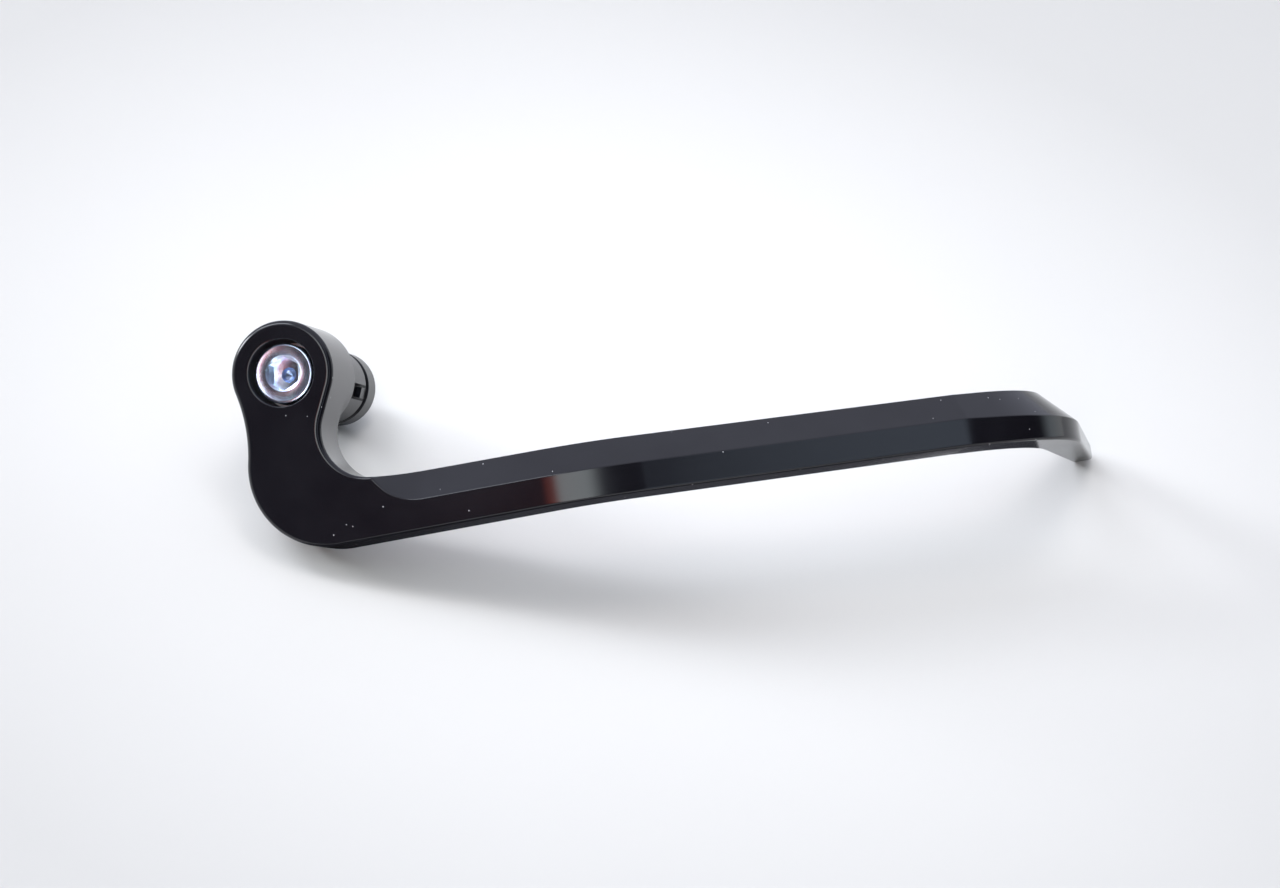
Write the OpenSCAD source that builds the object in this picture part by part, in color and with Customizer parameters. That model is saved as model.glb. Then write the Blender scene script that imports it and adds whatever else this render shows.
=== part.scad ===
// Lever guard for the end of a handlebar, with its expanding plug.
// The boss and plug share the Y axis; +Y runs into the bar and the arm reaches out along +X.
// The origin is on that axis, at the face that seats on the end of the bar.

/* [Boss] */
// Diameter of the round boss
boss_d = 17.4; // [15:0.1:20]
// Length of the boss along the bar axis
boss_len = 13.2; // [12.2:0.1:16]
// Chamfer round the boss's front edge
boss_chamfer = 1.0; // [0.4:0.1:1.4]
// Diameter of the counterbore for the screw head
counterbore_d = 11.2; // [11.1:0.1:12]
// Depth of the counterbore from the boss's front face
counterbore_depth = 8.8; // [8:0.1:9.5]
// Bore that turns on the bush's spigot
pivot_bore_d = 8.1; // [8.1:0.05:8.4]

/* [Arm] */
// Thickness of the neck and arm, front to back
arm_depth = 10.0; // [8:0.1:12]
// Height of the arm's lower edge
arm_bottom = -29.6; // [-32:0.1:-28]
// Height of the arm's top where it leaves the hook
arm_top_root = -19.55; // [-20:0.05:-19]
// Height of the arm's top at the crease
arm_top_crease = -20.2; // [-22:0.05:-19.6]
// Width of the long top chamfer near the hook
top_chamfer_root = 5.05; // [3:0.05:6]
// Width of the long top chamfer at the crease
top_chamfer_crease = 4.75; // [3:0.05:6]
// Chamfer along the arm's lower front edge
low_chamfer = 0.6; // [0.3:0.05:1]
// Edge break on the back edges
back_break = 0.3; // [0.1:0.05:0.5]

/* [Bends] */
// Where the first bend starts along X
bend_start = 40; // [34:0.5:50]
// Radius of the first bend's front face
bend_r = 36.6; // [25:0.1:60]
// Angle of the first bend
bend_angle = 27; // [15:0.5:35]
// Length of the straight stretch after the first bend
mid_len = 55.8; // [40:0.1:70]
// Angle of the crease
crease_angle = 4.5; // [0:0.1:8]
// Length of the flat facet after the crease
facet_len = 6; // [4:0.1:12]
// Radius of the last bend's front face
tip_bend_r = 22; // [18:0.1:30]
// Angle by which the tip turns in past the bar's direction
tip_turn = 2.8; // [0:0.1:8]

/* [Tip] */
// Length of the straight tip
tip_len = 30; // [15:0.5:45]
// Height of the lower edge at the tip's end
tip_bottom = -31.1; // [-32:0.1:-29]
// Height at which the top would end if the chamfer didn't cut it away
tip_top = -21.7; // [-23:0.1:-20]
// Depth of the tip at its end
tip_depth = 3.2; // [3:0.1:6]
// Width of the top chamfer at the tip's end, where it may be wider than the tip is deep
tip_chamfer = 6.9; // [4:0.1:7]
// Length over which the tip's end is rounded
tip_round = 2; // [1:0.1:3]

/* [Screw] */
// Thread diameter of the clamping screw
screw_d = 6; // [6]
// Diameter of the screw head
head_d = 10; // [10]
// Height of the screw head
head_h = 6; // [6]
// Length of the screw under its head
screw_len = 25; // [24:0.5:26]
// Width across the flats of the hex socket
socket_af = 5; // [5]
// Depth of the hex socket
socket_depth = 3; // [2.5:0.1:3.2]
// Angle of the socket's first corner above the +X direction
socket_turn = 22; // [0:1:59]
// Thickness of the washer under the head
washer_t = 1.6; // [1.6]
// Outer diameter of the washer
washer_d = 11; // [10.6:0.1:11]

/* [Plug] */
// Diameter of the plug before it is spread
plug_d = 12.6; // [12:0.1:14]
// Distance from the seat face to the rear of the segments
segment_end = 14.2; // [13:0.1:15]
// Distance from the seat face to the plug's far end
plug_end = 20.5; // [20:0.1:22]
// Width of the three slots between the segments
slot_w = 2.7; // [2.2:0.1:3]
// Angle of the first slot below the +X direction
slot_turn = 22; // [0:1:30]
// Half angle of the cone
cone_angle = 20; // [20]
// Gap between the segments and the collar at rest
collar_gap = 1.3; // [1.2:0.1:1.5]

/* [Hidden] */
$fn = 96;
eps = 0.01;

// Running clearances and small features of the plug
spigot_d = pivot_bore_d - 0.1;      // spigot that carries the boss
screw_hole_d = screw_d + 0.4;       // hole through the washer and the bush
nut_bore_d = screw_d + 0.1;         // bore of the nut over the thread's crests
flange_end = 0.35;                  // flange of the bush, let into the back of the boss
recess_depth = 1.2;
flange_gap = 0.05;                  // flange to the recess, all round
nose_d = 8.4;                       // nose of the bush inside the segments
nose_end = 4.0;
socket_end = 4.4;                   // recess of the segments round the nose
socket_r = 4.6;
segment_start = 0.7;
segment_bore_d = 7.4;
groove_start = 5.3;                 // groove that holds the ring
groove_w = 1.9;
groove_d = 9.5;
ring_tube_r = 0.65;
ring_r = plug_d / 2 - ring_tube_r;
cone_front = 11.6;                  // small end of the cone
cone_front_r = 4.52;
cone_clear = 0.1;                   // segments to cone at rest
collar_front = segment_end + collar_gap;
key_w = slot_w - 0.9;               // keys of the nut in the slots
key_front = 12.8;
edge_break = 0.25;

// Outline of the neck and hook in the XZ plane
boss_r = boss_d / 2;
blend_r = boss_r - 0.06;            // the neck leaves the boss from just inside its surface
hook_r = 13.5;                      // outer corner of the hook
hook_c = [5.1, arm_bottom + hook_r];
waist_r = 26;                       // hollow on the left of the neck
inner_r = 7.95;                     // inner corner of the hook
inner_c = [12.95, arm_top_root + inner_r];
neck_steps = 12;
hook_steps = 26;
front_y = -boss_len;                // front face of boss and neck

function dir(a) = [cos(a), sin(a)];
function angle_of(v) = atan2(v.y, v.x);
function mix(a, b, t) = a + (b - a) * t;

// Centre of the hollow's circle: outside both the boss and the hook's corner, and touching both
function touching_centre(r1, c2, r2, r) =
    let (d = norm(c2), a = r1 + r, b = r2 + r, along = (a * a - b * b + d * d) / (2 * d),
         off = sqrt(a * a - along * along), u = c2 / d)
    u * along + [u.y, -u.x] * off;
waist_c = touching_centre(blend_r, hook_c, hook_r, waist_r);
waist_a0 = angle_of(-waist_c);
waist_a1 = angle_of(hook_c - waist_c);
hook_a0 = 180 + angle_of(hook_c - waist_c);

// Straight stretch between the boss and the inner corner, touching both circles
inner_gap = norm(inner_c);
inner_a0 = angle_of(inner_c) + acos((blend_r + inner_r) / inner_gap);
line_a = blend_r * dir(inner_a0);
line_b = inner_c - inner_r * dir(inner_a0);

// One station of the neck or hook: [outer point, inward normal, inner point, inward normal, outer chamfer]
function neck_station(t) =
    let (a = mix(waist_a0, waist_a1, t), straight = min(1, 2 * t), round_part = max(0, 2 * t - 1),
         b = mix(inner_a0 + 180, 180, round_part))
    [waist_c + waist_r * dir(a), dir(a),
     round_part > 0 ? inner_c + inner_r * dir(b) : mix(line_a, line_b, straight), dir(b), boss_chamfer];
function hook_station(t) =
    let (a = mix(hook_a0, 270, t), b = mix(180, 270, t))
    [hook_c + hook_r * dir(a), -dir(a), inner_c + inner_r * dir(b), dir(b), mix(boss_chamfer, low_chamfer, t)];

// The top chamfer starts where the cutter came out of the hook's inner corner
scallop_end = 20.5;
scallop_r = 9.5;
function scallop(x) =
    let (d = scallop_end - x)
    d <= 0 ? top_chamfer_root : d >= scallop_r ? 0
    : top_chamfer_root - scallop_r + sqrt(scallop_r * scallop_r - d * d);
function inner_chamfer(t, x) = max(mix(boss_chamfer, 0.5, t), scallop(x));

// Eight points round a section; o and i are its outer and inner points, no and ni point into the metal
function hook_section(o, no, i, ni, co, ci) =
    let (fy = front_y, by = front_y + arm_depth, e = back_break)
    [[o.x + co * no.x, fy, o.y + co * no.y], [o.x, fy + co, o.y], [o.x, by - e, o.y],
     [o.x + e * no.x, by, o.y + e * no.y], [i.x + e * ni.x, by, i.y + e * ni.y], [i.x, by - e, i.y],
     [i.x, fy + ci, i.y], [i.x + ci * ni.x, fy, i.y + ci * ni.y]];

// The same eight points for the arm: p is on the front face, a is the heading, d the depth
function arm_section(p, a, zb, zt, cb, ct, d) =
    let (n = [-sin(a), cos(a)], e = back_break)
    [for (q = [[0, zb + cb], [cb, zb], [d - e, zb], [d, zb + e], [d, zt - e], [d - e, zt], [ct, zt],
               [0, zt - ct]]) [p.x + n.x * q[0], p.y + n.y * q[0], q[1]]];

// Stations of the arm's front face from above: [x, y, heading, distance]
join_x = 14;                        // from here on the sections stand upright
bend_x = bend_start;
bend_end = [bend_x + bend_r * sin(bend_angle), front_y + bend_r * (1 - cos(bend_angle))];
crease = bend_end + mid_len * dir(bend_angle);
facet_a = bend_angle + crease_angle;
facet_end = crease + facet_len * dir(facet_a);
tip_c = facet_end + tip_bend_r * dir(facet_a + 90);
tip_a = 90 + tip_turn;
tip_end = tip_c + tip_bend_r * dir(tip_turn) + tip_len * dir(tip_a);
root_len = bend_x + bend_r * bend_angle * PI / 180 + mid_len - join_x;
function root_top(x) = mix(arm_top_root, arm_top_crease, (x - join_x) / root_len);

scallop_steps = 9;
root_stations = [for (k = [0:scallop_steps]) let (x = mix(join_x, scallop_end, k / scallop_steps))
                     [x, front_y, 0, x - join_x, scallop(x)]];
bend_stations = [for (k = [0:9]) let (a = bend_angle * k / 9)
                     [bend_x + bend_r * sin(a), front_y + bend_r * (1 - cos(a)), a,
                      bend_x - join_x + bend_r * a * PI / 180, top_chamfer_root]];
crease_station = [crease.x, crease.y, bend_angle + crease_angle / 2, root_len, top_chamfer_crease];
upper_stations = concat(root_stations, bend_stations, [crease_station]);

outer_len = facet_len + tip_bend_r * (tip_a - facet_a) * PI / 180 + tip_len;
tip_arc_stations = [for (k = [0:12]) let (a = mix(facet_a, tip_a, k / 12))
                        [tip_c.x + tip_bend_r * sin(a), tip_c.y - tip_bend_r * cos(a), a,
                         facet_len + tip_bend_r * (a - facet_a) * PI / 180]];
end_steps = 6;
tip_end_stations = [for (k = [0:end_steps - 1])
                        let (back = tip_round * (1 - sin(90 * k / end_steps)), p = tip_end - back * dir(tip_a))
                        [p.x, p.y, tip_a, outer_len - back]];
outer_stations = concat(tip_arc_stations, tip_end_stations);

// How much of its full size the section keeps inside the rounded end
function end_keep(s) =
    let (r = max(0, s - (outer_len - tip_round)) / tip_round) sqrt(max(0, 1 - r * r * 0.97));
function outer_section(p) =
    let (t = p[3] / outer_len, d = mix(arm_depth, tip_depth, t), full = mix(top_chamfer_crease, tip_chamfer, t),
         ct = min(full, d - 2 * back_break), zt = mix(arm_top_crease, tip_top, t) - full + ct,
         zb = mix(arm_bottom, tip_bottom, t), k = end_keep(p[3]), mid = (zt + zb) / 2,
         half = (zt - zb) / 2 * k, inset = d * (1 - k) / 2, n = [-sin(p[2]), cos(p[2])])
    arm_section([p[0], p[1]] + n * inset, p[2], mid - half, mid + half, low_chamfer * k, ct * k,
                d * k + back_break * (1 - k));

arm_rings = concat(
    [for (k = [0:neck_steps - 1]) let (t = k / neck_steps, s = neck_station(t))
         hook_section(s[0], s[1], s[2], s[3], s[4], boss_chamfer)],
    [for (k = [0:hook_steps]) let (t = k / hook_steps, s = hook_station(t))
         hook_section(s[0], s[1], s[2], s[3], s[4], inner_chamfer(t, s[2].x))],
    [for (p = upper_stations)
         let (t = p[3] / root_len, ct = p[4] == top_chamfer_root
              ? mix(top_chamfer_root, top_chamfer_crease, t) : p[4])
         arm_section([p[0], p[1]], p[2], arm_bottom, root_top(p[3] + join_x), low_chamfer, ct, arm_depth)],
    [for (p = outer_stations) outer_section(p)]);

module swept(rings) {
    n = len(rings[0]);
    last = len(rings) - 1;
    points = [for (ring = rings) each ring];
    sides = [for (r = [0:last - 1], k = [0:n - 1]) let (a = r * n + k, b = r * n + (k + 1) % n)
                 each [[a, b + n, b], [a, a + n, b + n]]];
    start_cap = [for (k = [1:n - 2]) [0, k, k + 1]];
    end_cap = [for (k = [1:n - 2]) [last * n, last * n + k + 1, last * n + k]];
    polyhedron(points, concat(sides, start_cap, end_cap));
}

// Turns a profile of [radius, y] points about the Y axis
module turned(profile) {
    rotate([-90, 0, 0]) rotate_extrude() polygon([for (p = profile) [p.x, p.y]]);
}

// A cylinder along Y from y0 to y1
module rod(d, y0, y1) {
    translate([0, y0, 0]) rotate([-90, 0, 0]) cylinder(d = d, h = y1 - y0);
}

module guard_arm() {
    color([0.08, 0.08, 0.09]) difference() {
        union() {
            swept(arm_rings);
            turned([[0, front_y], [boss_r - boss_chamfer, front_y], [boss_r, front_y + boss_chamfer],
                    [boss_r, -edge_break], [boss_r - edge_break, 0], [0, 0]]);
        }
        rod(counterbore_d, front_y - 1, front_y + counterbore_depth);
        rod(pivot_bore_d, front_y, 1);
        rod(plug_d + 2 * flange_gap, -recess_depth, 1);
        turned([[0, front_y - eps], [counterbore_d / 2 + edge_break, front_y - eps],
                [counterbore_d / 2 - eps, front_y + edge_break], [0, front_y + edge_break]]);
    }
}

// The washer rests on the counterbore's floor and the head rests on the washer
floor_y = front_y + counterbore_depth;
head_seat_y = floor_y - washer_t;
spigot_start = floor_y + 0.2;       // the spigot ends just short of the washer

module clamp_screw() {
    color([0.8, 0.8, 0.84]) difference() {
        turned([[0, head_seat_y - head_h], [head_d / 2 - 0.5, head_seat_y - head_h],
                [head_d / 2, head_seat_y - head_h + 0.5], [head_d / 2, head_seat_y],
                [screw_d / 2, head_seat_y], [screw_d / 2, head_seat_y + screw_len - 0.8],
                [screw_d / 2 - 0.8, head_seat_y + screw_len], [0, head_seat_y + screw_len]]);
        translate([0, head_seat_y - head_h - eps, 0]) rotate([-90, -socket_turn, 0])
            cylinder(d = socket_af / cos(30), h = socket_depth + eps, $fn = 6);
    }
}

module head_washer() {
    color([0.75, 0.75, 0.78]) difference() {
        rod(washer_d, head_seat_y, floor_y);
        rod(screw_hole_d, head_seat_y - 1, floor_y + 1);
    }
}

module seat_bush() {
    color([0.12, 0.12, 0.13]) difference() {
        turned([[0, spigot_start], [spigot_d / 2, spigot_start], [spigot_d / 2, flange_gap - recess_depth],
                [plug_d / 2, flange_gap - recess_depth], [plug_d / 2, flange_end],
                [nose_d / 2, flange_end], [nose_d / 2, nose_end], [0, nose_end]]);
        rod(screw_hole_d, floor_y - 1, nose_end + 1);
    }
}

// Radius of the nut's cone at a distance y from the seat face
function cone_r(y) = cone_front_r + (y - cone_front) * tan(cone_angle);

// The full sleeve that the three slots cut into segments
module sleeve() {
    bore_r = segment_bore_d / 2;
    cone_start = cone_front + (bore_r - cone_front_r - cone_clear) / tan(cone_angle);
    turned([[bore_r, socket_end], [socket_r, socket_end], [socket_r, segment_start],
            [plug_d / 2 - edge_break, segment_start], [plug_d / 2, segment_start + edge_break],
            [plug_d / 2, groove_start], [groove_d / 2, groove_start], [groove_d / 2, groove_start + groove_w],
            [plug_d / 2, groove_start + groove_w], [plug_d / 2, segment_end - edge_break],
            [plug_d / 2 - edge_break, segment_end], [cone_r(segment_end) + cone_clear, segment_end],
            [bore_r, cone_start]]);
}

// Segment k is what is left between the slots k and k + 1
module segment(k) {
    color([0.1, 0.1, 0.11]) intersection() {
        sleeve();
        rotate([0, slot_turn - 120 * k, 0]) rotate([-90, 0, 0])
            linear_extrude(height = plug_end) polygon(sector_points());
    }
}

// A wedge of 120 degrees whose two straight sides stand half a slot inside the wedge's own sides
function sector_points() =
    let (h = slot_w / 2, tip = h / sin(60), reach = plug_d)
    [tip * dir(-60), [reach, -h], [reach, -2 * reach], 2 * reach * dir(-120), reach * dir(-120) + h * dir(-30)];

module segment_1() { segment(0); }
module segment_2() { segment(1); }
module segment_3() { segment(2); }

module o_ring() {
    color([0.05, 0.05, 0.05]) translate([0, groove_start + groove_w / 2, 0]) rotate([-90, 0, 0])
        rotate_extrude() translate([ring_r, 0]) circle(r = ring_tube_r, $fn = 32);
}

module cone_nut() {
    color([0.14, 0.14, 0.15]) difference() {
        union() {
            turned([[0, cone_front], [cone_front_r, cone_front], [cone_r(collar_front), collar_front],
                    [plug_d / 2 - edge_break, collar_front], [plug_d / 2, collar_front + edge_break],
                    [plug_d / 2, plug_end - 0.8], [plug_d / 2 - 0.8, plug_end], [0, plug_end]]);
            for (k = [0:2]) rotate([0, slot_turn - 120 * k, 0])
                translate([0, key_front, -key_w / 2])
                    cube([plug_d / 2 - 0.4, collar_front - key_front + 1, key_w]);
        }
        rod(nut_bore_d, cone_front - 1, plug_end + 1);
    }
}

guard_arm();
clamp_screw();
head_washer();
seat_bush();
segment_1();
segment_2();
segment_3();
o_ring();
cone_nut();
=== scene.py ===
import math

import bpy
import bmesh
from mathutils import Matrix, Vector


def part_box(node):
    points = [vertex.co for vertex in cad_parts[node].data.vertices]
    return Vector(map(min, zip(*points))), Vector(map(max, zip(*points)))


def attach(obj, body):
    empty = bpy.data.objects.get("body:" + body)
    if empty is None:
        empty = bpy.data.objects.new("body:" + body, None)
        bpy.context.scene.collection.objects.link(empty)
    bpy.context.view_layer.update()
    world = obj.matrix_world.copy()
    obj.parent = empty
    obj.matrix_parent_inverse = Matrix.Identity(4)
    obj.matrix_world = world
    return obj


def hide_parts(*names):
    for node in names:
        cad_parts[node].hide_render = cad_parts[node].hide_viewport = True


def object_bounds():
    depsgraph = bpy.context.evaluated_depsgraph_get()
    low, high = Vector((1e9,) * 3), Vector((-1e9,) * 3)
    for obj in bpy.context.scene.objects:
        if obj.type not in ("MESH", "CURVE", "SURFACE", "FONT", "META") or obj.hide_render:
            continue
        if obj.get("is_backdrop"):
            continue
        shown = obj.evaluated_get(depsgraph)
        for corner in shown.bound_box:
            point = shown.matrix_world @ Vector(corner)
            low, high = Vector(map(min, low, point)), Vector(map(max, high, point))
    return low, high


# Looks for a handlebar lever guard. The shapes are in millimetres until a mesh is made, then in metres.
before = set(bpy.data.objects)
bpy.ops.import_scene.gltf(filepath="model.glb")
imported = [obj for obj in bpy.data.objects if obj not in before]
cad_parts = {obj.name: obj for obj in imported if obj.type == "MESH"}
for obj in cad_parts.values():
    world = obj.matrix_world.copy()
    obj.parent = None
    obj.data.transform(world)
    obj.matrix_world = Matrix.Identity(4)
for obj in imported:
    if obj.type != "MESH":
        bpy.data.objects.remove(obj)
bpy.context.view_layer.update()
MM = 0.001


def direction(degrees):
    return Vector((math.cos(math.radians(degrees)), math.sin(math.radians(degrees))))


def angle_of(v):
    return math.degrees(math.atan2(v.y, v.x))


def mix(a, b, t):
    return a + (b - a) * t


def smooth(t):
    t = min(1.0, max(0.0, t))
    return t * t * (3 - 2 * t)


# ---------------------------------------------------------------- sizes, in mm, from the frame and the part
box_lo, box_hi = (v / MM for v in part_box("guard_arm"))
screw_lo, screw_hi = (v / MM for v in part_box("clamp_screw"))
washer_lo, washer_hi = (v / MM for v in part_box("head_washer"))

BOSS_R = box_hi.z
FRONT_Y = box_lo.y
ARM_DEPTH = 10.0
ROUND = 1.0                 # rounding of the front edges of boss, neck and hook
LOW_ROUND = 0.6             # rounding of the arm's lower front edge
BACK_BREAK = 0.3            # break of the arm's back edges
BORE_R = 5.6                # counterbore round the screw head
BORE_FLOOR_Y = washer_hi.y
PIVOT_R = 4.05              # bore that turns on the bush's spigot
RECESS_R = 6.35             # recess for the bush's flange in the seat face
RECESS_Y = -1.2
EDGE = 0.25                 # break of the seat face's edge and of the counterbore's

ARM_BOTTOM = -29.6
TOP_ROOT, TOP_CREASE = -19.55, -20.2
CHAMFER_ROOT, CHAMFER_CREASE = 5.05, 4.75
JOIN_X = 14.0
BEND_X, BEND_R, BEND_A = 40.0, 36.6, 27.0
MID_LEN = 55.8
CREASE_A, FACET_LEN = 4.5, 6.0
TIP_R, TIP_TURN, TIP_LEN = 22.0, 2.8, 30.0
TIP_BOTTOM, TIP_TOP, TIP_DEPTH, TIP_CHAMFER, TIP_ROUND = -31.1, -21.7, 3.2, 6.9, 2.0

HOOK_R = 13.5
HOOK_C = Vector((5.1, ARM_BOTTOM + HOOK_R))
WAIST_R = 26.0
INNER_R = 7.95
INNER_C = Vector((12.95, TOP_ROOT + INNER_R))
SCALLOP_END, SCALLOP_R = 20.5, 9.5
FILLET = 0.16               # softening of the long chamfer's two edges
STEPS = 3                   # points of each such fillet, less one
HOOK_INNER_ROUND = 0.5      # rounding of the hook's inner edge where it meets the arm
CHAMFER_FROM = 0.05         # an edge starts to turn from rounding to chamfer this far above ROUND
CHAMFER_OVER = 0.7          # and is all chamfer this much further on
FILLET_SHARE = 0.3          # a fillet takes no more than this share of its chamfer

# ---------------------------------------------------------------- outline of neck and hook in the XZ plane
dist = HOOK_C.length
reach_a, reach_b = BOSS_R + WAIST_R, HOOK_R + WAIST_R
along = (reach_a**2 - reach_b**2 + dist**2) / (2 * dist)
unit = HOOK_C / dist
WAIST_C = unit * along + Vector((unit.y, -unit.x)) * math.sqrt(reach_a**2 - along**2)
WAIST_A0 = angle_of(-WAIST_C)
WAIST_A1 = angle_of(HOOK_C - WAIST_C)
HOOK_A0 = 180 + WAIST_A1
INNER_A0 = angle_of(INNER_C) + math.degrees(math.acos((BOSS_R + INNER_R) / INNER_C.length))
LINE_A = direction(INNER_A0) * BOSS_R
LINE_B = INNER_C - direction(INNER_A0) * INNER_R


def neck_station(t):
    a = mix(WAIST_A0, WAIST_A1, t)
    if t < 0.5:
        b, inner = INNER_A0 + 180, LINE_A.lerp(LINE_B, 2 * t)
    else:
        b = mix(INNER_A0 + 180, 180, 2 * t - 1)
        inner = INNER_C + direction(b) * INNER_R
    return WAIST_C + direction(a) * WAIST_R, direction(a), inner, direction(b)


def hook_station(t):
    a, b = mix(HOOK_A0, 270, t), mix(180, 270, t)
    return HOOK_C + direction(a) * HOOK_R, -direction(a), INNER_C + direction(b) * INNER_R, direction(b)


def scallop(x):
    d = SCALLOP_END - x
    if d <= 0:
        return CHAMFER_ROOT
    if d >= SCALLOP_R:
        return 0.0
    return CHAMFER_ROOT - SCALLOP_R + math.sqrt(SCALLOP_R**2 - d**2)


def front_profile(c):
    """(inset, depth) from the front face to the side wall.

    It is a rounding while c is small, and a chamfer with softened corners when it is wide.
    """
    n = 2 * STEPS + 1
    arc = [(c * (1 - math.sin(k / n * math.pi / 2)), c * (1 - math.cos(k / n * math.pi / 2)))
           for k in range(n + 1)]
    w = smooth((c - ROUND - CHAMFER_FROM) / CHAMFER_OVER)
    if w == 0:
        return arc
    trim = min(FILLET, c * FILLET_SHARE)
    s = math.sqrt(0.5)
    flat = []
    for corner, before, after in (((c, 0), (1, 0), (-s, s)), ((0, c), (s, -s), (0, 1))):
        for k in range(STEPS + 1):
            t = k / STEPS
            flat.append(tuple(corner[i] + before[i] * trim * (1 - t) ** 2 + after[i] * trim * t**2
                              for i in (0, 1)))
    return [(mix(a[0], b[0], w), mix(a[1], b[1], w)) for a, b in zip(arc, flat)]


BACK_POINTS = 3


def back_profile(e, depth):
    """(inset, depth) from the side wall to the back face, round an edge break of e."""
    turns = [k / (BACK_POINTS - 1) * math.pi / 2 for k in range(BACK_POINTS)]
    return [(e * (1 - math.cos(turn)), depth - e * (1 - math.sin(turn))) for turn in turns]


def section(po, no, pi, ni, d, depth, co, ci, e=BACK_BREAK):
    """One ring of points: outer side from front to back, then inner side from back to front."""
    outer = [po + no * a + d * b for a, b in front_profile(co) + back_profile(e, depth)]
    inner = [pi + ni * a + d * b for a, b in front_profile(ci) + back_profile(e, depth)]
    return outer + inner[::-1]


def flat_section(o, no, i, ni, co, ci):
    return section(Vector((o.x, FRONT_Y, o.y)), Vector((no.x, 0, no.y)), Vector((i.x, FRONT_Y, i.y)),
                   Vector((ni.x, 0, ni.y)), Vector((0, 1, 0)), ARM_DEPTH, co, ci)


def arm_section(p, heading, zb, zt, cb, ct, depth, e=BACK_BREAK):
    """A section across the arm, from its bottom zb to its top zt, with front edges of cb and ct."""
    d = Vector((-math.sin(math.radians(heading)), math.cos(math.radians(heading)), 0))
    return section(Vector((p.x, p.y, zb)), Vector((0, 0, 1)), Vector((p.x, p.y, zt)), Vector((0, 0, -1)),
                   d, depth, cb, ct, e)


# ---------------------------------------------------------------- sections from the neck to the tip
NECK_START = 0.7            # the sweep takes over from the boss's own mesh here
rings, distances = [], []


def add_ring(ring, at):
    rings.append(ring)
    distances.append(at)


NECK_STEPS, HOOK_STEPS = 10, 44
NECK_LEN, HOOK_LEN = 8.0, 16.0      # rough lengths, only for the UVs
for k in range(NECK_STEPS):
    t = mix(NECK_START, 1.0, k / NECK_STEPS)
    add_ring(flat_section(*neck_station(t), ROUND, ROUND), -HOOK_LEN - NECK_LEN * (1 - t))
for k in range(HOOK_STEPS + 1):
    t = k / HOOK_STEPS
    s = hook_station(t)
    inner_edge = max(mix(ROUND, HOOK_INNER_ROUND, t), scallop(s[2].x))
    add_ring(flat_section(*s, mix(ROUND, LOW_ROUND, t), inner_edge), -HOOK_LEN * (1 - t))

bend_len = BEND_R * math.radians(BEND_A)
bend_end = Vector((BEND_X, FRONT_Y)) + Vector((math.sin(math.radians(BEND_A)),
                                               1 - math.cos(math.radians(BEND_A)))) * BEND_R
crease = bend_end + direction(BEND_A) * MID_LEN
root_len = BEND_X + bend_len + MID_LEN - JOIN_X


def root_sizes(s):
    return mix(TOP_ROOT, TOP_CREASE, s / root_len), mix(CHAMFER_ROOT, CHAMFER_CREASE, s / root_len)


def root_ring(p, heading, s, chamfer_limit=math.inf):
    """Adds the section that lies s along the arm, between the join and the crease."""
    zt, ct = root_sizes(s)
    add_ring(arm_section(p, heading, ARM_BOTTOM, zt, LOW_ROUND, min(ct, chamfer_limit), ARM_DEPTH), s)


SCALLOP_STEPS, STRAIGHT_STEPS, BEND_STEPS, MID_STEPS = 13, 5, 24, 8
MID_SPACES = 8.2            # a little more than MID_STEPS: the last of them stops short of the crease
AFTER_SCALLOP, BEFORE_BEND = 1, 2
for k in range(SCALLOP_STEPS + 1):
    x = mix(JOIN_X, SCALLOP_END, k / SCALLOP_STEPS)
    root_ring(Vector((x, FRONT_Y)), 0, x - JOIN_X, scallop(x))
for k in range(STRAIGHT_STEPS + 1):
    x = mix(SCALLOP_END + AFTER_SCALLOP, BEND_X - BEFORE_BEND, k / STRAIGHT_STEPS)
    root_ring(Vector((x, FRONT_Y)), 0, x - JOIN_X)
for k in range(BEND_STEPS + 1):
    a = BEND_A * k / BEND_STEPS
    turned = math.radians(a)
    p = Vector((BEND_X + BEND_R * math.sin(turned), FRONT_Y + BEND_R * (1 - math.cos(turned))))
    root_ring(p, a, BEND_X - JOIN_X + BEND_R * turned)
for k in range(1, MID_STEPS + 1):
    p = bend_end + direction(BEND_A) * (MID_LEN * k / MID_SPACES)
    root_ring(p, BEND_A, root_len - MID_LEN * (1 - k / MID_SPACES))
crease_at = len(rings)
add_ring(arm_section(crease, BEND_A + CREASE_A / 2, ARM_BOTTOM, TOP_CREASE, LOW_ROUND, CHAMFER_CREASE,
                     ARM_DEPTH), root_len)

facet_a = BEND_A + CREASE_A
tip_a = 90 + TIP_TURN
facet_end = crease + direction(facet_a) * FACET_LEN
tip_c = facet_end + direction(facet_a + 90) * TIP_R
tip_end = tip_c + direction(TIP_TURN) * TIP_R + direction(tip_a) * TIP_LEN
outer_len = FACET_LEN + TIP_R * math.radians(tip_a - facet_a) + TIP_LEN
FACET_STEPS, TURN_STEPS, TIP_STEPS, END_STEPS = 4, 36, 7, 12
END_FLAT = 0.985            # below 1, so that the rounded end keeps a small flat face


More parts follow.
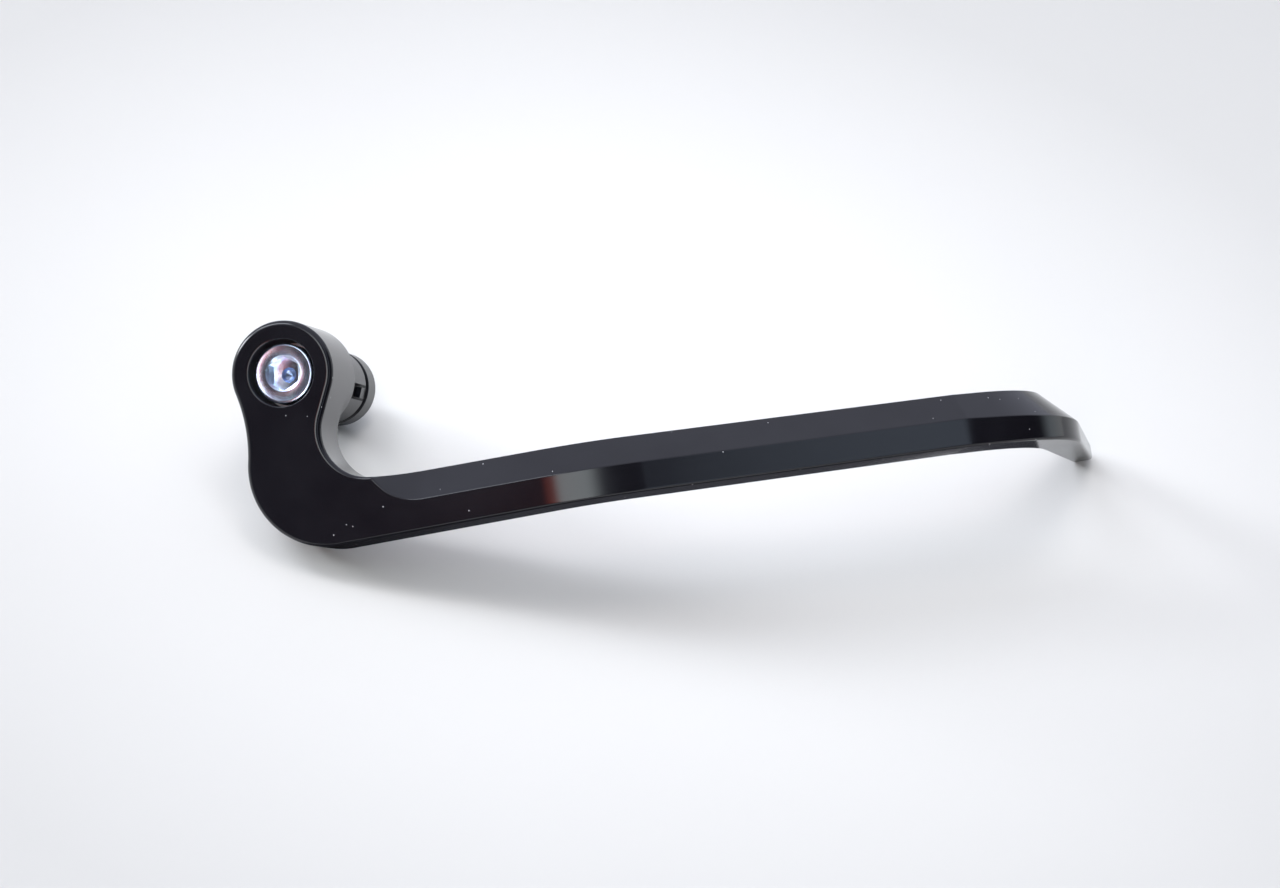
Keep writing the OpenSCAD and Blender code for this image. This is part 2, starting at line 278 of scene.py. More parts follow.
def outer_ring(p, heading, s):
    """Adds the section that lies s past the crease, where the arm tapers to its rounded end."""
    t = s / outer_len
    full = mix(CHAMFER_CREASE, TIP_CHAMFER, t)
    depth = mix(ARM_DEPTH, TIP_DEPTH, t)
    ct = min(full, depth - 2 * BACK_BREAK)
    zt = mix(TOP_CREASE, TIP_TOP, t) - full + ct
    zb = mix(ARM_BOTTOM, TIP_BOTTOM, t)
    r = max(0.0, s - (outer_len - TIP_ROUND)) / TIP_ROUND
    keep = math.sqrt(max(0.0, 1 - r * r * END_FLAT))
    mid, half = (zt + zb) / 2, (zt - zb) / 2 * keep
    n = Vector((-math.sin(math.radians(heading)), math.cos(math.radians(heading))))
    add_ring(arm_section(p + n * (depth * (1 - keep) / 2), heading, mid - half, mid + half, LOW_ROUND * keep,
                         ct * keep, depth * keep, BACK_BREAK * keep), root_len + s)


for k in range(1, FACET_STEPS):
    p = crease + direction(facet_a) * FACET_LEN * k / FACET_STEPS
    outer_ring(p, facet_a, FACET_LEN * k / FACET_STEPS)
for k in range(TURN_STEPS + 1):
    a = mix(facet_a, tip_a, k / TURN_STEPS)
    outer_ring(tip_c + direction(a - 90) * TIP_R, a, FACET_LEN + TIP_R * math.radians(a - facet_a))
for k in range(1, TIP_STEPS):
    back = mix(TIP_LEN, TIP_ROUND, k / TIP_STEPS)
    outer_ring(tip_end - direction(tip_a) * back, tip_a, outer_len - back)
for k in range(END_STEPS + 1):
    back = TIP_ROUND * (1 - math.sin(k / END_STEPS * math.pi / 2))
    outer_ring(tip_end - direction(tip_a) * back, tip_a, outer_len - back)

# ---------------------------------------------------------------- the guard's mesh
bm = bmesh.new()
uv = bm.loops.layers.uv.new("UVMap")
BOSS_UV = 40                # keeps the boss's machining lines apart from the arm's
BACK_UV = -6.0              # where the back of the arm lies in the UVs
UV_RING = 40                # the section whose outline gives the UVs across the arm


def add_face(verts, coords=None):
    """A face whose UVs are millimetres along the part and across it."""
    kept, where = [], []
    for k, v in enumerate(verts):
        if v not in kept:
            kept.append(v)
            where.append(k)
    if len(kept) < 3:
        return
    f = bm.faces.new(kept)
    f.smooth = True
    for loop, k in zip(f.loops, where):
        loop[uv].uv = coords[k] if coords else (-loop.vert.co.z / MM - BOSS_UV, loop.vert.co.x / MM)


def vert(p):
    return bm.verts.new(Vector(p) * MM)


ring_verts = [[vert(p) for p in ring] for ring in rings]
across = [0.0]
for a, b in zip(rings[UV_RING], rings[UV_RING][1:]):
    across.append(across[-1] + (b - a).length)
for r in range(len(rings) - 1):
    lo, hi = ring_verts[r], ring_verts[r + 1]
    n = len(lo)
    for k in range(n):
        m = (k + 1) % n
        va, vb = (across[k], across[m]) if m else (0.0, BACK_UV)
        add_face([lo[k], lo[m], hi[m], hi[k]],
                 [(distances[r], va), (distances[r], vb), (distances[r + 1], vb), (distances[r + 1], va)])
add_face(ring_verts[-1][::-1])


# Boss and the top of the neck: columns of points down the side, in order round the outline
def side_points(p, n, profile):
    """A column of points down the side at p, where n points inwards; both are in the XZ plane."""
    base, inward = Vector((p.x, FRONT_Y, p.y)), Vector((n.x, 0, n.y))
    return [vert(base + inward * a + Vector((0, b, 0))) for a, b in profile]


def wall_point(p, n, inset, y):
    return vert((p.x + n.x * inset, y, p.y + n.y * inset))


BACK_Y = FRONT_Y + ARM_DEPTH
UPPER = 12                  # columns from the sweep's first section up to the boss
TOP_COUNT, LOW_COUNT = 104, 40
left_angle = angle_of(WAIST_C) % 360
right_angle = INNER_A0 % 360
span = (left_angle - right_angle) % 360
arc_top = [left_angle - span * k / TOP_COUNT for k in range(TOP_COUNT + 1)]
arc_low = [left_angle + (360 - span) * k / LOW_COUNT for k in range(LOW_COUNT + 1)]


def neck_columns(side):
    """Columns from the first section of the sweep up to the boss, each [front..., back...]."""
    half = len(rings[0]) // 2
    cols = [ring_verts[0][:half] if side == 0 else ring_verts[0][half:][::-1]]
    for k in range(UPPER - 1, 0, -1):
        s = neck_station(NECK_START * k / UPPER)
        p, n = (s[0], s[1]) if side == 0 else (s[2], s[3])
        e = BACK_BREAK * smooth(k / UPPER * 2)
        cols.append(side_points(p, n, front_profile(ROUND) + back_profile(e, ARM_DEPTH)))
    return cols


def boss_column(angle):
    """The front rounding's points, then three more: end of the neck's back, seat edge, seat face."""
    p = direction(angle) * BOSS_R
    n = -direction(angle)
    front = side_points(p, n, front_profile(ROUND))
    return front, wall_point(p, n, 0, BACK_Y), wall_point(p, n, 0, -EDGE), wall_point(p, n, EDGE, 0)


top_cols = [boss_column(a) for a in arc_top]
low_walls = [top_cols[0][1:]]
for a in arc_low[1:-1]:
    p, n = direction(a) * BOSS_R, -direction(a)
    low_walls.append((wall_point(p, n, 0, BACK_Y), wall_point(p, n, 0, -EDGE), wall_point(p, n, EDGE, 0)))
low_walls.append(top_cols[-1][1:])


def strip(a, b, flip):
    for k in range(len(a) - 1):
        quad = [a[k], a[k + 1], b[k + 1], b[k]]
        add_face(quad[::-1] if flip else quad)


left = neck_columns(0) + [top_cols[0][0] + [top_cols[0][1]] * BACK_POINTS]
right = neck_columns(1) + [top_cols[-1][0] + [top_cols[-1][1]] * BACK_POINTS]
for a, b in zip(left, left[1:]):
    strip(a, b, True)
for a, b in zip(right, right[1:]):
    strip(a, b, False)
for a, b in zip(top_cols, top_cols[1:]):
    strip(a[0] + list(a[1:]), b[0] + list(b[1:]), True)
for a, b in zip(low_walls, low_walls[1:]):
    strip(list(a), list(b), False)

# Back of the neck: one flat face between the two back edges and the boss's wall
back_loop = [c[-1] for c in left] + [w[0] for w in low_walls[1:-1]] + [c[-1] for c in right[::-1]]
add_face(back_loop)

# Turned surfaces inside the boss share the boss's angles
full_angles = arc_top + arc_low[-2:0:-1]
seat_ring = [c[3] for c in top_cols] + [w[2] for w in low_walls[-2:0:-1]]


def turned_ring(r, y):
    return [vert((math.cos(math.radians(a)) * r, y, math.sin(math.radians(a)) * r)) for a in full_angles]


inner_rings = [seat_ring]
for r, y in ((RECESS_R, 0.0), (RECESS_R, RECESS_Y), (PIVOT_R, RECESS_Y), (PIVOT_R, BORE_FLOOR_Y),
             (BORE_R, BORE_FLOOR_Y), (BORE_R, FRONT_Y + EDGE), (BORE_R + EDGE * 0.3, FRONT_Y + EDGE * 0.3),
             (BORE_R + EDGE, FRONT_Y)):
    inner_rings.append(turned_ring(r, y))
for a, b in zip(inner_rings, inner_rings[1:]):
    n = len(a)
    for k in range(n):
        m = (k + 1) % n
        add_face([a[k], b[k], b[m], a[m]])

# Front face in two pieces, so that the counterbore's edge is a hole in it
mouth = inner_rings[-1]
half = TOP_COUNT // 2
low_mid = TOP_COUNT + (len(mouth) - TOP_COUNT) // 2
face_left = [c[0] for c in left[::-1]]
face_right = [c[0] for c in right]
fronts = [c[0][0] for c in top_cols]
add_face(fronts[half::-1] + face_left[1:] + [mouth[low_mid]] + mouth[low_mid + 1:] + mouth[:half + 1])
add_face(face_right[:-1] + fronts[:half - 1:-1] + mouth[half:low_mid + 1] + [face_left[-1]])

# The crease is a sharp line
for a, b in zip(ring_verts[crease_at], ring_verts[crease_at][1:]):
    bm.edges.get((a, b)).smooth = False
bmesh.ops.remove_doubles(bm, verts=bm.verts, dist=1e-7)
bmesh.ops.recalc_face_normals(bm, faces=bm.faces)


def finish_mesh(name, mesh_bm, body, nodes, material, sharp=32):
    """Turns a bmesh into a piece that rides on a body and stands for CAD nodes."""
    for e in mesh_bm.edges:
        if len(e.link_faces) == 2 and e.calc_face_angle(0) > math.radians(sharp):
            e.smooth = False
    mesh = bpy.data.meshes.new(name)
    mesh_bm.to_mesh(mesh)
    mesh_bm.free()
    obj = bpy.data.objects.new(name, mesh)
    bpy.context.scene.collection.objects.link(obj)
    mesh.materials.append(material)
    weighted = obj.modifiers.new("weighted", "WEIGHTED_NORMAL")
    weighted.keep_sharp = True
    weighted.weight = 60
    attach(obj, body)
    if nodes:
        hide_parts(*nodes)
    return obj


# ---------------------------------------------------------------- materials
def new_material(name, color, metallic, roughness):
    m = bpy.data.materials.new(name)
    m.use_nodes = True
    nt = m.node_tree
    shader = nt.nodes["Principled BSDF"]
    shader.inputs["Base Color"].default_value = (*color, 1)
    shader.inputs["Metallic"].default_value = metallic
    shader.inputs["Roughness"].default_value = roughness
    return m, nt, shader


def node(nt, kind, **inputs):
    """A new node with some of its inputs set."""
    n = nt.nodes.new(kind)
    for key, value in inputs.items():
        n.inputs[key].default_value = value
    return n


def math_node(nt, op, a, b):
    n = nt.nodes.new("ShaderNodeMath")
    n.operation = op
    for k, v in enumerate((a, b)):
        if isinstance(v, (int, float)):
            n.inputs[k].default_value = v
        elif v is not None:
            nt.links.new(v, n.inputs[k])
    return n.outputs[0]


def ramp(nt, source, stops):
    n = nt.nodes.new("ShaderNodeValToRGB")
    el = n.color_ramp.elements
    while len(el) < len(stops):
        el.new(0.5)
    for e, (pos, c) in zip(el, stops):
        e.position = pos
        e.color = (*c, 1) if isinstance(c, tuple) else (c, c, c, 1)
    nt.links.new(source, n.inputs["Fac"])
    return n.outputs["Color"]


def noise(nt, coords, scale, stretch=(1, 1, 1), detail=3.0, rough=0.5):
    m = node(nt, "ShaderNodeMapping", Scale=stretch)
    nt.links.new(coords, m.inputs["Vector"])
    n = node(nt, "ShaderNodeTexNoise", Scale=scale, Detail=detail, Roughness=rough)
    nt.links.new(m.outputs["Vector"], n.inputs["Vector"])
    return n.outputs["Fac"]


def scale_to(nt, value, lo, hi):
    n = nt.nodes.new("ShaderNodeMapRange")
    n.inputs["To Min"].default_value = lo
    n.inputs["To Max"].default_value = hi
    nt.links.new(value, n.inputs["Value"])
    return n.outputs["Result"]


def between(nt, value, lo, hi, soft):
    """1 inside lo..hi and 0 outside, with soft shoulders."""
    masks = []
    for edge, sign in ((lo, 1), (hi, -1)):
        n = nt.nodes.new("ShaderNodeMapRange")
        n.interpolation_type = "SMOOTHSTEP"
        n.inputs["From Min"].default_value = edge - sign * soft
        n.inputs["From Max"].default_value = edge + sign * soft
        nt.links.new(value, n.inputs["Value"])
        masks.append(n.outputs["Result"])
    return math_node(nt, "MULTIPLY", *masks)


def mixed(nt, mode, factor, a, b):
    n = nt.nodes.new("ShaderNodeMix")
    n.data_type = "RGBA"
    n.blend_type = mode
    for key, v in (("Factor", factor), ("A", a), ("B", b)):
        if isinstance(v, tuple):
            n.inputs[key].default_value = (*v, 1)
        elif isinstance(v, float):
            n.inputs[key].default_value = v
        else:
            nt.links.new(v, n.inputs[key])
    return n.outputs["Result"]


def grey_of(nt, value):
    n = nt.nodes.new("ShaderNodeCombineColor")
    for key in ("Red", "Green", "Blue"):
        nt.links.new(value, n.inputs[key])
    return n.outputs["Color"]


def bump(nt, shader, height, strength, distance):
    b = node(nt, "ShaderNodeBump", Strength=strength, Distance=distance)
    nt.links.new(height, b.inputs["Height"])
    nt.links.new(b.outputs["Normal"], shader.inputs["Normal"])


MACHINED_LINES = (0.05, 9.0, 1)         # over the UVs in mm: long down the part, fine across it
TURNED_LINES = (900, 7000, 900)         # over metres: fine along the plug's axis, so they run round it
DUST_SIZE, DUST_SHARE = 0.038, 0.35
DUST_COLOR = (0.6, 0.6, 0.62)
BORE_DULLER = 0.4                       # the counterbore is less polished than the outside
FINE_BUMP = 0.00002


def anodised(name, roughness, on_guard, dust):
    """Black anodised aluminium; the guard also has its UVs, and a dull counterbore."""
    m, nt, shader = new_material(name, (0.008, 0.008, 0.010), 0.0, roughness)
    shader.inputs["IOR"].default_value = 1.5
    tc = nt.nodes.new("ShaderNodeTexCoord")
    obj = tc.outputs["Object"]
    if on_guard:
        lines = noise(nt, tc.outputs["UV"], 1.0, MACHINED_LINES, 4.0, 0.6)
    else:
        lines = noise(nt, obj, 1.0, TURNED_LINES, 4.0, 0.6)
    grain = noise(nt, obj, 9000.0, detail=2.0)
    cloud = noise(nt, obj, 90.0, detail=3.0)
    base = ramp(nt, cloud, [(0.3, (0.006, 0.0055, 0.008)), (0.7, (0.010, 0.010, 0.013))])
    rough = math_node(nt, "ADD", scale_to(nt, lines, -0.05, 0.05),
                      scale_to(nt, cloud, roughness - 0.03, roughness + 0.03))
    if dust:
        cells = node(nt, "ShaderNodeTexVoronoi", Scale=dust)
        nt.links.new(obj, cells.inputs["Vector"])
        near = math_node(nt, "LESS_THAN", cells.outputs["Distance"], DUST_SIZE)
        pick = nt.nodes.new("ShaderNodeSeparateColor")
        nt.links.new(cells.outputs["Color"], pick.inputs["Color"])
        some = math_node(nt, "GREATER_THAN", pick.outputs["Red"], DUST_SHARE)
        mask = math_node(nt, "MULTIPLY", near, some)
        base = mixed(nt, "MIX", mask, base, DUST_COLOR)
        rough = math_node(nt, "ADD", rough, math_node(nt, "MULTIPLY", mask, 0.5))
    if on_guard:
        place = nt.nodes.new("ShaderNodeSeparateXYZ")
        nt.links.new(obj, place.inputs[0])
        x2, z2 = (math_node(nt, "POWER", place.outputs[axis], 2.0) for axis in ("X", "Z"))
        off_axis = math_node(nt, "SQRT", math_node(nt, "ADD", x2, z2), None)
        in_bore = math_node(nt, "LESS_THAN", off_axis, (BORE_R + EDGE * 0.2) * MM)
        rough = math_node(nt, "ADD", rough, math_node(nt, "MULTIPLY", in_bore, BORE_DULLER))
    nt.links.new(base, shader.inputs["Base Color"])
    nt.links.new(rough, shader.inputs["Roughness"])
    height = math_node(nt, "ADD", math_node(nt, "MULTIPLY", lines, 0.7),
                       math_node(nt, "MULTIPLY", grain, 0.5))
    bump(nt, shader, height, 0.12, FINE_BUMP)
    return m


def zinc(name, tint_lo, tint_hi, roughness):
    m, nt, shader = new_material(name, tint_hi, 1.0, roughness)
    tc = nt.nodes.new("ShaderNodeTexCoord")
    obj = tc.outputs["Object"]
    cloud = noise(nt, obj, 600.0, detail=4.0)
    fine = noise(nt, obj, 7000.0, detail=3.0)
    color = ramp(nt, cloud, [(0.36, tint_lo), (0.64, tint_hi)])
    nt.links.new(color, shader.inputs["Base Color"])
    nt.links.new(scale_to(nt, fine, roughness - 0.07, roughness + 0.1), shader.inputs["Roughness"])
    bump(nt, shader, fine, 0.25, FINE_BUMP)
    return m


def rubber(name):
    m, nt, shader = new_material(name, (0.02, 0.02, 0.02), 0.0, 0.6)
    tc = nt.nodes.new("ShaderNodeTexCoord")
    fine = noise(nt, tc.outputs["Object"], 5000.0, detail=3.0)
    nt.links.new(ramp(nt, fine, [(0.3, (0.015, 0.015, 0.015)), (0.7, (0.03, 0.03, 0.031))]),
                 shader.inputs["Base Color"])
    nt.links.new(scale_to(nt, fine, 0.5, 0.7), shader.inputs["Roughness"])
    bump(nt, shader, fine, 0.3, FINE_BUMP)
    return m


guard_black = anodised("guard_anodised", 0.13, True, 420.0)
plug_black = anodised("plug_anodised", 0.30, False, 0)
screw_zinc = zinc("screw_zinc", (0.50, 0.52, 0.70), (0.66, 0.80, 0.97), 0.22)
washer_zinc = zinc("washer_zinc", (0.55, 0.55, 0.58), (0.70, 0.71, 0.74), 0.32)
ring_rubber = rubber("ring_rubber")

finish_mesh("guard_body", bm, "guard", ["guard_arm"], guard_black)

# ---------------------------------------------------------------- the clamping screw
HEAD_R, SHANK_R, ROOT_R, PITCH = screw_hi.x, 3.0, 2.42, 1.0
HEAD_FRONT, HEAD_SEAT = screw_lo.y, washer_lo.y
SCREW_END = screw_hi.y
HEX_AF, HEX_DEPTH = 5.0, 3.0
HEX_TURN = 22.5             # the CAD's 22 degrees, moved so that the corners fall on the circles' points
SINK_R, SINK_Y, SINK_SLOPE = 2.96, 0.04, 28     # countersink: outer radius, depth there, and slope
SEG = 192                   # points round each circle
KNURLS, KNURL_DEPTH = 48, 0.16
THREAD_STEPS = 32           # points in each turn of the thread


def screw_mesh():
    sb = bmesh.new()

    def ring(points):
        return [sb.verts.new(Vector(p) * MM) for p in points]

    def circle(r, y):
        return ring([(r * math.cos(a), y, r * math.sin(a)) for a in angles])

    def join(a, b):
        n = len(a)
        for k in range(n):
            m = (k + 1) % n
            f = sb.faces.new([a[k], a[m], b[m], b[k]])
            f.smooth = True

    angles = [2 * math.pi * k / SEG for k in range(SEG)]
    hex_turn = math.radians(HEX_TURN)
    slope = math.tan(math.radians(SINK_SLOPE))

    def hexagon(depth_at):
        """The socket's outline, each point as deep as depth_at says for its radius."""
        points = []
        for a in angles:
            w = (a - hex_turn) % (math.pi / 3) - math.pi / 6
            r = HEX_AF / 2 / math.cos(w)
            points.append((r * math.cos(a), depth_at(r), r * math.sin(a)))
        return ring(points)

    def knurled(r, y, depth):
        pts = []
        for k, a in enumerate(angles):
            groove = 0.5 - 0.5 * math.cos(a * KNURLS)
            pts.append(((r - depth * groove) * math.cos(a), y, (r - depth * groove) * math.sin(a)))
        return ring(pts)

    # (radius, y) of each circle: seat and lower edge, knurled side, then the rounded front edge
    under = [(SHANK_R + 0.4, HEAD_SEAT), (HEAD_R - 0.35, HEAD_SEAT), (HEAD_R - 0.1, HEAD_SEAT - 0.25)]
    rim = [(HEAD_R, HEAD_FRONT + 0.6), (HEAD_R - 0.01, HEAD_FRONT + 0.34),
           (HEAD_R - 0.1, HEAD_FRONT + 0.12), (HEAD_R - 0.3, HEAD_FRONT + 0.015),
           (HEAD_R - 0.45, HEAD_FRONT)]
    # A shallow turned ring lies in the face, then the countersink falls to the hexagon
    face = [(HEAD_R - 0.55, HEAD_FRONT + 0.03), (SINK_R + 0.16, HEAD_FRONT + 0.03),
            (SINK_R + 0.05, HEAD_FRONT + 0.01), (SINK_R, HEAD_FRONT + SINK_Y)]
    # The hexagon's floor, then the drilled hole in it and the hole's cone
    drilled = [(2.35, HEAD_FRONT + HEX_DEPTH + 0.02), (1.25, HEAD_FRONT + HEX_DEPTH + 0.1),
               (1.05, HEAD_FRONT + HEX_DEPTH + 1.5), (0.06, HEAD_FRONT + HEX_DEPTH + 2.0)]
    rows = [circle(r, y) for r, y in under]
    rows += [knurled(HEAD_R, y, KNURL_DEPTH) for y in (HEAD_SEAT - 0.45, HEAD_FRONT + 0.85)]
    rows += [circle(r, y) for r, y in rim + face]
    rows.append(hexagon(lambda r: HEAD_FRONT + SINK_Y + (SINK_R - r) * slope))
    rows.append(hexagon(lambda r: HEAD_FRONT + HEX_DEPTH))
    rows += [circle(r, y) for r, y in drilled]
    for a, b in zip(rows, rows[1:]):
        join(a, b)
    sb.faces.new(rows[-1])

    # A short plain neck under the head, then a rolled thread down to the chamfered end
    thread = []
    y0, y1 = HEAD_SEAT, SCREW_END - 0.3
    count = int((y1 - y0) / PITCH * THREAD_STEPS)
    # (place along the thread in pitches, radius)
    section_r = [(-0.5, ROOT_R), (-0.44, ROOT_R), (-0.08, SHANK_R), (0.08, SHANK_R), (0.44, ROOT_R)]
    for k in range(count + 1):
        a = 2 * math.pi * k / THREAD_STEPS
        y = y0 + PITCH * k / THREAD_STEPS
        fade = min(smooth(k / (THREAD_STEPS * 1.5)), smooth((count - k) / THREAD_STEPS))
        row = []
        for off, r in section_r:
            rr = mix(ROOT_R if k > count / 2 else SHANK_R - 0.06, r, fade)
            yy = min(max(y + off * PITCH, y0), SCREW_END)
            row.append(sb.verts.new(Vector((rr * math.cos(a), yy, rr * math.sin(a))) * MM))
        thread.append(row)
    for a, b in zip(thread, thread[1:]):
        for k in range(len(a) - 1):
            f = sb.faces.new([a[k], a[k + 1], b[k + 1], b[k]])
            f.smooth = True
    core = [circle(SHANK_R + 0.4, HEAD_SEAT), circle(ROOT_R + 0.02, HEAD_SEAT + 0.4),
            circle(ROOT_R + 0.02, SCREW_END - 0.35), circle(ROOT_R - 0.4, SCREW_END)]
    for a, b in zip(core, core[1:]):
        join(a, b)
    sb.faces.new(core[-1])
    bmesh.ops.remove_doubles(sb, verts=sb.verts, dist=1e-8)
    bmesh.ops.recalc_face_normals(sb, faces=sb.faces)
    return sb


finish_mesh("cap_screw", screw_mesh(), "screw", ["clamp_screw"], screw_zinc, sharp=28)

# ---------------------------------------------------------------- CAD nodes that stay, with better finishes
FINISHES = {"head_washer": washer_zinc, "seat_bush": plug_black, "segment_1": plug_black,
            "segment_2": plug_black, "segment_3": plug_black, "cone_nut": plug_black,
            "o_ring": ring_rubber}
for name, material in FINISHES.items():
    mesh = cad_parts[name].data
    mesh.materials.clear()
    mesh.materials.append(material)

# ---------------------------------------------------------------- table, light and camera
TABLE_N = Vector((0.390, -0.625, 0.676)).normalized()
TABLE_AT = -17.25 * MM      # within 0.1 mm of the hook, the tip and the plug's far end
TABLE_SIZE = 3.0            # metres from its middle to each side
# The middle of the painted pool of light on the table, put down onto its plane
TABLE_FOOT = Vector((52.0, 30.0, 12.0)) * MM
TABLE_FOOT -= TABLE_N * (TABLE_FOOT.dot(TABLE_N) - TABLE_AT)
# Painted light: the table's colour darkens by distance from there, as a share of the radius below, in metres
PAINTED_FALLOFF_R = 0.3
PAINTED_FALLOFF = [(0.0, 1.0), (0.12, 0.985), (0.3, 0.86), (0.5, 0.72), (1.0, 0.62)]


def table_material():
    """Pale paper with a painted pool of light, darker away from its middle, seen from above only: from below
    the table is clear.
    """
    m, nt, shader = new_material("table_white", (0.8, 0.8, 0.82), 0.0, 0.75)
    tc = nt.nodes.new("ShaderNodeTexCoord")
    cloud = noise(nt, tc.outputs["Object"], 6.0, detail=3.0)
    fine = noise(nt, tc.outputs["Object"], 900.0, detail=2.0)
    paper = ramp(nt, cloud, [(0.3, (0.84, 0.83, 0.80)), (0.7, (0.86, 0.85, 0.82))])
    away = nt.nodes.new("ShaderNodeVectorMath")
    away.operation = "DISTANCE"
    nt.links.new(tc.outputs["Object"], away.inputs[0])
    away.inputs[1].default_value = (0, 0, 0)
    # painted light: the paper's colour is darkened with distance from the table's middle
    painted_light_falloff = ramp(nt, math_node(nt, "DIVIDE", away.outputs["Value"], PAINTED_FALLOFF_R), PAINTED_FALLOFF)
    nt.links.new(mixed(nt, "MULTIPLY", 1.0, paper, painted_light_falloff), shader.inputs["Base Color"])
    shader.inputs["Specular IOR Level"].default_value = 0.2
    bump(nt, shader, fine, 0.06, 0.0001)
    geo = nt.nodes.new("ShaderNodeNewGeometry")
    clear = nt.nodes.new("ShaderNodeBsdfTransparent")
    both = nt.nodes.new("ShaderNodeMixShader")
    nt.links.new(geo.outputs["Backfacing"], both.inputs[0])
    nt.links.new(shader.outputs[0], both.inputs[1])
    nt.links.new(clear.outputs[0], both.inputs[2])
    nt.links.new(both.outputs[0], nt.nodes["Material Output"].inputs["Surface"])
    return m


def add_table():
    mesh = bpy.data.meshes.new("table")
    corners = [(x * TABLE_SIZE, y * TABLE_SIZE, 0) for x, y in ((-1, -1), (1, -1), (1, 1), (-1, 1))]
    mesh.from_pydata(corners, [], [(0, 1, 2, 3)])
    obj = bpy.data.objects.new("table", mesh)
    bpy.context.scene.collection.objects.link(obj)
    obj.matrix_world = Matrix.Translation(TABLE_FOOT) @ TABLE_N.to_track_quat("Z", "Y").to_matrix().to_4x4()
    mesh.materials.append(table_material())
    obj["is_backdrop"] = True


add_table()

CARD_NEAR, CARD_FAR = -24.0, 26.0       # the card's edges, in mm across the table from below the arm
CARD_LIFT = 0.4                         # its height over the table
CARD_START_X = -4.0
CARD_END_TURN = -18                     # where on the last bend it ends, in degrees


def add_shade():
    """A painted shadow: a dark card on the table below the arm, standing for the arm's shadow there; only
    reflections see it, and it casts no shadow.
    """
    points = []
    bend_out = tip_c + direction(CARD_END_TURN) * TIP_R
    for x, y in ((CARD_START_X, FRONT_Y), (BEND_X, FRONT_Y), (crease.x, crease.y), (facet_end.x, facet_end.y),
                 (bend_out.x, bend_out.y)):
        foot = Vector((x, y, ARM_BOTTOM))
        foot -= TABLE_N * (foot.dot(TABLE_N) - TABLE_AT / MM - CARD_LIFT)
        points += [foot + back_dir * CARD_NEAR, foot + back_dir * CARD_FAR]
    mesh = bpy.data.meshes.new("shade")
    mesh.from_pydata([tuple(p * MM) for p in points], [],
                     [(k, k + 1, k + 3, k + 2) for k in range(0, len(points) - 2, 2)])
    obj = bpy.data.objects.new("shade", mesh)
    bpy.context.scene.collection.objects.link(obj)
    # painted shadow: the card's dark grey stands for the arm's shadow on the table
    m, nt, shader = new_material("painted_shadow_grey", (0.05, 0.05, 0.055), 0.0, 0.8)
    shader.inputs["Specular IOR Level"].default_value = 0.1
    mesh.materials.append(m)
    obj.visible_camera = obj.visible_diffuse = obj.visible_shadow = obj.visible_transmission = False
    obj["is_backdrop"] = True


CAMERA_AT = Vector((185.4, -619.4, -87.7)) * MM
AIM_AT = Vector((54.58, 0.0, -20.94)) * MM
ROLL = -9.28                # degrees
LENS, SENSOR = 109.5, 36.0  # mm


def add_camera():
    data = bpy.data.cameras.new("camera")
    data.sensor_width = SENSOR
    data.sensor_fit = "HORIZONTAL"
    data.lens = LENS
    data.clip_start, data.clip_end = 0.01, 20.0
    obj = bpy.data.objects.new("camera", data)
    bpy.context.scene.collection.objects.link(obj)
    forward = (AIM_AT - CAMERA_AT).normalized()
    right = forward.cross(Vector((0, 0, 1))).normalized()
    up = right.cross(forward)
    c, s = math.cos(math.radians(ROLL)), math.sin(math.radians(ROLL))
    x_axis, y_axis = right * c + up * s, up * c - right * s
    rot = Matrix((x_axis, y_axis, -forward)).transposed().to_4x4()
    obj.matrix_world = Matrix.Translation(CAMERA_AT) @ rot
    bpy.context.scene.camera = obj
    return forward


view_forward = add_camera()


def area_light(name, at, aim, size, power, color):
    data = bpy.data.lights.new(name, "AREA")
    data.shape = "DISK"
    data.size = size
    data.energy = power
    data.color = color
    obj = bpy.data.objects.new(name, data)
    bpy.context.scene.collection.objects.link(obj)
    obj.matrix_world = Matrix.Translation(at) @ (at - aim).to_track_quat("Z", "Y").to_matrix().to_4x4()
    obj.visible_glossy = False


# Lamps straight over the part: height and diameter in metres, power in watts, and colour
LAMPS = [("key", 0.9, 0.32, 1.15, (1.0, 0.96, 0.94)),
         ("fill", 1.0, 1.5, 2.1, (1.0, 0.98, 0.96))]
centre = Vector((50, 10, -20)) * MM
back_dir = (view_forward - TABLE_N * view_forward.dot(TABLE_N)).normalized()
add_shade()
for name, lamp_height, size, power, color in LAMPS:
    area_light(name, centre + TABLE_N * lamp_height, centre, size, power, color)

# The room's walls: azimuth in degrees, 0 straight in front of the part, and tone
DEEP = 0.01
BLUE_GREY = (0.90, 1.08, 1.33)
WALLS = [(-180, 0.72), (-112, 0.72), (-104, 2.4), (-76, 2.4), (-66, 0.90), (-50, 0.10), (-24, DEEP),
         (-6.5, DEEP), (-3.5, (3.5, 3.6, 3.7)), (12, (3.3, 3.6, 3.7)), (19, (0.30, 0.33, 0.36)), (27, DEEP),
         (42, DEEP), (44.3, BLUE_GREY), (49.5, BLUE_GREY), (52, DEEP), (96, DEEP), (108, (1.1, 1.25, 1.35)),
         (130, 1.2), (160, 0.8), (180, 0.72)]
WALL_PEAK = 5.0             # a ramp holds 0 to 1, so the tones are divided by this and multiplied back
CEILING = (0.66, 0.69, 0.82)
CEILING_FROM, CEILING_SOFT = 28.0, 12.0
NO_LIMIT = 200.0            # an elevation past straight up
BACKDROP = (0.88, 0.89, 0.91)
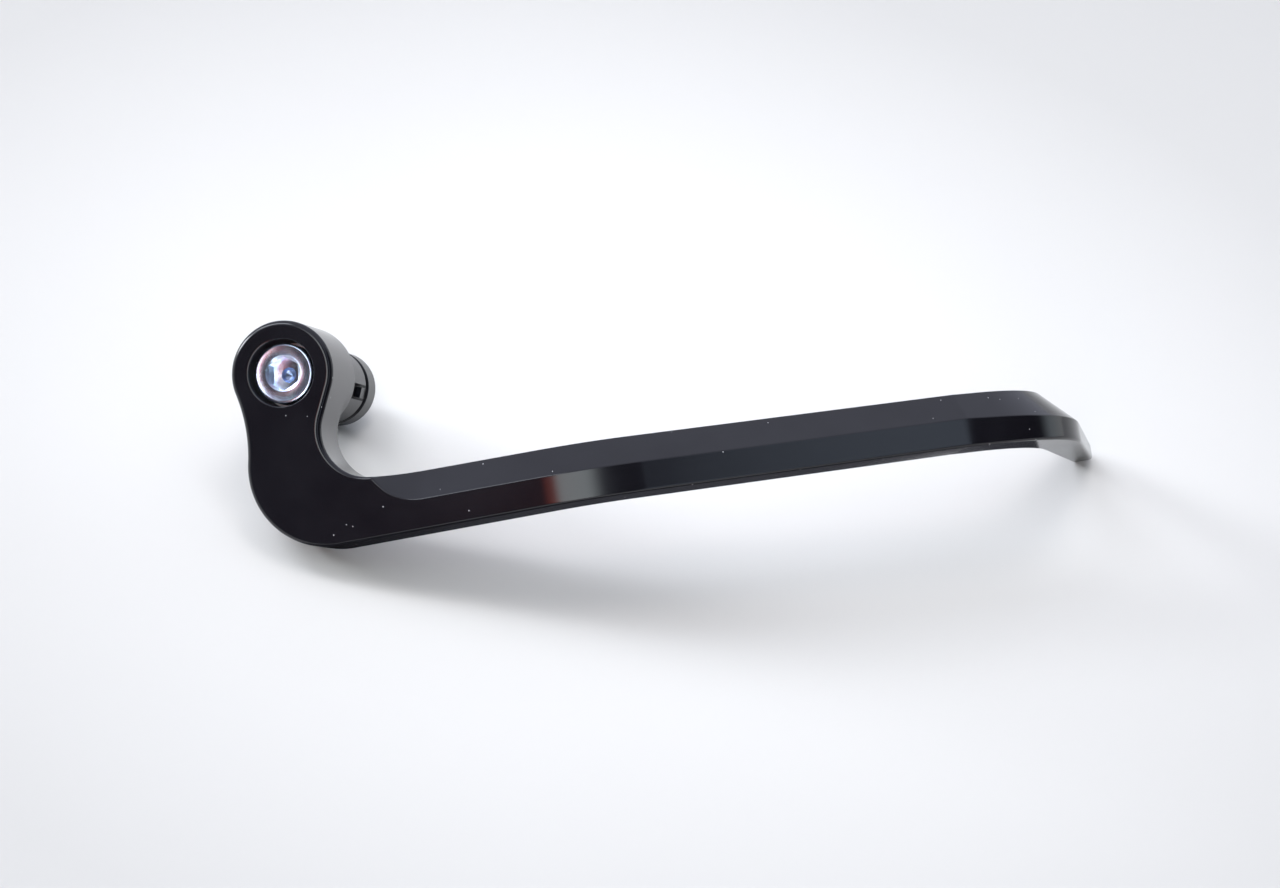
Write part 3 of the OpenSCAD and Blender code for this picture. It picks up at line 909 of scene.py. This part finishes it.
# Azimuth range, elevation range and softness in degrees, and colour: a wide bright box high on the left,
# a brighter one lower and further left, and a small warm card in front
SOFT_BOXES = [((-62.0, -4.0), (47.0, 58.0), 3.0, (7.5, 7.9, 8.6)),
              ((-84.0, -48.0), (30.0, 44.0), 3.0, (14.0, 14.6, 15.6)),
              ((-11.0, -4.5), (-32.0, 8.0), 1.5, (1.7, 0.26, 0.12))]


def build_world():
    """The studio that reflections see: walls in tones, a pale ceiling and the soft boxes."""
    world = bpy.data.worlds.new("studio")
    bpy.context.scene.world = world
    world.use_nodes = True
    nt = world.node_tree
    background = nt.nodes["Background"]
    tc = nt.nodes.new("ShaderNodeTexCoord")
    sep = nt.nodes.new("ShaderNodeSeparateXYZ")
    nt.links.new(tc.outputs["Generated"], sep.inputs[0])
    minus_y = math_node(nt, "MULTIPLY", sep.outputs["Y"], -1.0)
    azimuth = math_node(nt, "MULTIPLY", math_node(nt, "ARCTAN2", sep.outputs["X"], minus_y), 180 / math.pi)
    elevation = math_node(nt, "MULTIPLY", math_node(nt, "ARCSINE", sep.outputs["Z"], None), 180 / math.pi)
    turn = math_node(nt, "ADD", math_node(nt, "DIVIDE", azimuth, 360.0), 0.5)
    stops = []
    for degrees, tone in WALLS:
        share = tuple(v / WALL_PEAK for v in tone) if isinstance(tone, tuple) else tone / WALL_PEAK
        stops.append(((degrees + 180) / 360, share))
    walls = mixed(nt, "MULTIPLY", 1.0, ramp(nt, turn, stops), (WALL_PEAK, WALL_PEAK, WALL_PEAK))
    above = between(nt, elevation, CEILING_FROM, NO_LIMIT, CEILING_SOFT)
    room = mixed(nt, "MIX", above, walls, CEILING)
    for az, el, soft, color in SOFT_BOXES:
        mask = math_node(nt, "MULTIPLY", between(nt, azimuth, *az, soft),
                         between(nt, elevation, *el, soft))
        room = mixed(nt, "ADD", 1.0, room, mixed(nt, "MULTIPLY", 1.0, color, grey_of(nt, mask)))
    rays = nt.nodes.new("ShaderNodeLightPath")
    shown = mixed(nt, "MIX", rays.outputs["Is Camera Ray"], room, BACKDROP)
    nt.links.new(shown, background.inputs["Color"])


build_world()
bpy.context.scene.view_settings.view_transform = "Standard"

lo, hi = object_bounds()
